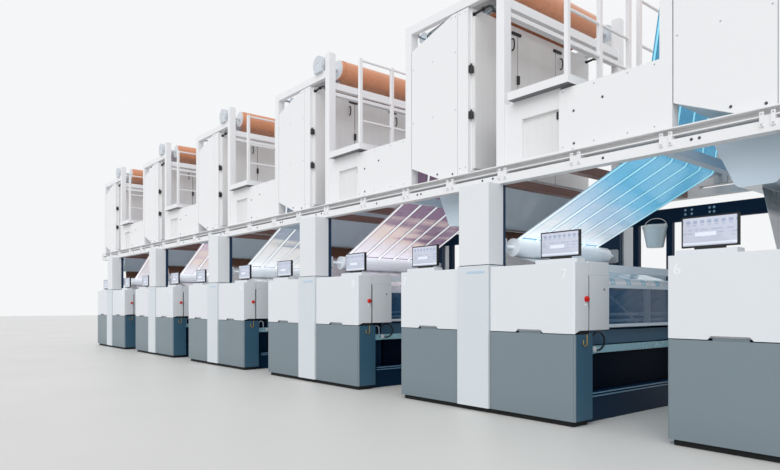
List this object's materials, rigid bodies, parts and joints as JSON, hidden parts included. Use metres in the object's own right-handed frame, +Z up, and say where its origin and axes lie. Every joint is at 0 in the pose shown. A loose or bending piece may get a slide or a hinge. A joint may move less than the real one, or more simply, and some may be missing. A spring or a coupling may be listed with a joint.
{
  "type": "flexographic printing press",
  "caption": "Long multi-unit web printing press: cabinets and print stations at floor level, a platform with dryer towers above, and the web running between the units over rollers.",
  "frame": {"origin": "centre of the overall box at floor level", "axes": "+Z up, +X along the line, the operator side with the screens faces -Y"},
  "size_m": [27.2598, 3.95, 6.6439],
  "materials": {
    "white_panel": "satin",
    "grey_panel": "satin",
    "door_grey": "satin",
    "pale_blue": "satin",
    "dark_blue": "satin",
    "dark_joint": "matt",
    "brown_beam": "satin",
    "grating": "matt",
    "steel": "polished",
    "copper_roll": "satin",
    "web_blue": "gloss",
    "ink_roll": "matt",
    "plate_roll": "matt",
    "tray_steel": "satin",
    "clear_guard": "clear",
    "screen_black": "gloss",
    "stop_red": "gloss"
  },
  "bodies": {
    "press_frame": {"base_skirts": "dark_joint", "cabinet_bodies": "dark_blue", "cabinet_joints": "dark_joint", "catwalk_decks": "grating", "catwalk_edges": "white_panel", "clamp_rails": "white_panel", "dryer_doors": "door_grey", "dryer_end_panels": "white_panel", "dryer_hoods": "pale_blue", "dryer_housings": "white_panel", "floor_cross_beams": "brown_beam", "frame_posts": "white_panel", "front_covers": "white_panel", "guard_frames": "pale_blue", "guard_rails": "white_panel", "guide_rollers": "steel", "hatch_frames": "white_panel", "hatch_panels": "door_grey", "impression_cylinders": "plate_roll", "infill_panels": "white_panel", "ink_trays": "tray_steel", "ink_trolleys": "dark_blue", "lower_cabinets": "grey_panel", "pillar_boxes": "pale_blue", "pillar_covers": "white_panel", "pillar_posts": "dark_blue", "platform_beams": "white_panel", "print_cylinders": "ink_roll", "print_guards": "clear_guard", "rail_clamps": "pale_blue", "roller_supports": "white_panel", "screen_bases": "white_panel", "screens": "screen_black", "side_covers": "white_panel", "side_frames": "dark_blue", "station_beams": "dark_blue", "stop_buttons": "stop_red", "top_beams": "white_panel", "web_sheets": "web_blue"},
    "top_roller_1": {"top_roller_1": "copper_roll"},
    "lead_roller_1": {"lead_roller_1": "steel"},
    "top_roller_2": {"top_roller_2": "copper_roll"},
    "lead_roller_2": {"lead_roller_2": "steel"},
    "top_roller_3": {"top_roller_3": "copper_roll"},
    "lead_roller_3": {"lead_roller_3": "steel"},
    "top_roller_4": {"top_roller_4": "copper_roll"},
    "lead_roller_4": {"lead_roller_4": "steel"},
    "top_roller_5": {"top_roller_5": "copper_roll"},
    "lead_roller_5": {"lead_roller_5": "steel"},
    "top_roller_6": {"top_roller_6": "copper_roll"},
    "lead_roller_6": {"lead_roller_6": "steel"}
  },
  "joints": [
    {"name": "top_roller_1_spin", "type": "hinge", "parent": "press_frame", "child": "top_roller_1", "pos_m": [10.815, 0, 6.44], "axis": [0, 1, 0], "continuous": true},
    {"name": "lead_roller_1_spin", "type": "hinge", "parent": "press_frame", "child": "lead_roller_1", "pos_m": [11.01, 0, 2.4], "axis": [0, 1, 0], "continuous": true},
    {"name": "top_roller_2_spin", "type": "hinge", "parent": "press_frame", "child": "top_roller_2", "pos_m": [6.315, 0, 6.44], "axis": [0, 1, 0], "continuous": true},
    {"name": "lead_roller_2_spin", "type": "hinge", "parent": "press_frame", "child": "lead_roller_2", "pos_m": [6.51, 0, 2.4], "axis": [0, 1, 0], "continuous": true},
    {"name": "top_roller_3_spin", "type": "hinge", "parent": "press_frame", "child": "top_roller_3", "pos_m": [1.815, 0, 6.44], "axis": [0, 1, 0], "continuous": true},
    {"name": "lead_roller_3_spin", "type": "hinge", "parent": "press_frame", "child": "lead_roller_3", "pos_m": [2.01, 0, 2.4], "axis": [0, 1, 0], "continuous": true},
    {"name": "top_roller_4_spin", "type": "hinge", "parent": "press_frame", "child": "top_roller_4", "pos_m": [-2.685, 0, 6.44], "axis": [0, 1, 0], "continuous": true},
    {"name": "lead_roller_4_spin", "type": "hinge", "parent": "press_frame", "child": "lead_roller_4", "pos_m": [-2.49, 0, 2.4], "axis": [0, 1, 0], "continuous": true},
    {"name": "top_roller_5_spin", "type": "hinge", "parent": "press_frame", "child": "top_roller_5", "pos_m": [-7.185, 0, 6.44], "axis": [0, 1, 0], "continuous": true},
    {"name": "lead_roller_5_spin", "type": "hinge", "parent": "press_frame", "child": "lead_roller_5", "pos_m": [-6.99, 0, 2.4], "axis": [0, 1, 0], "continuous": true},
    {"name": "top_roller_6_spin", "type": "hinge", "parent": "press_frame", "child": "top_roller_6", "pos_m": [-11.685, 0, 6.44], "axis": [0, 1, 0], "continuous": true},
    {"name": "lead_roller_6_spin", "type": "hinge", "parent": "press_frame", "child": "lead_roller_6", "pos_m": [-11.49, 0, 2.4], "axis": [0, 1, 0], "continuous": true}
  ]
}
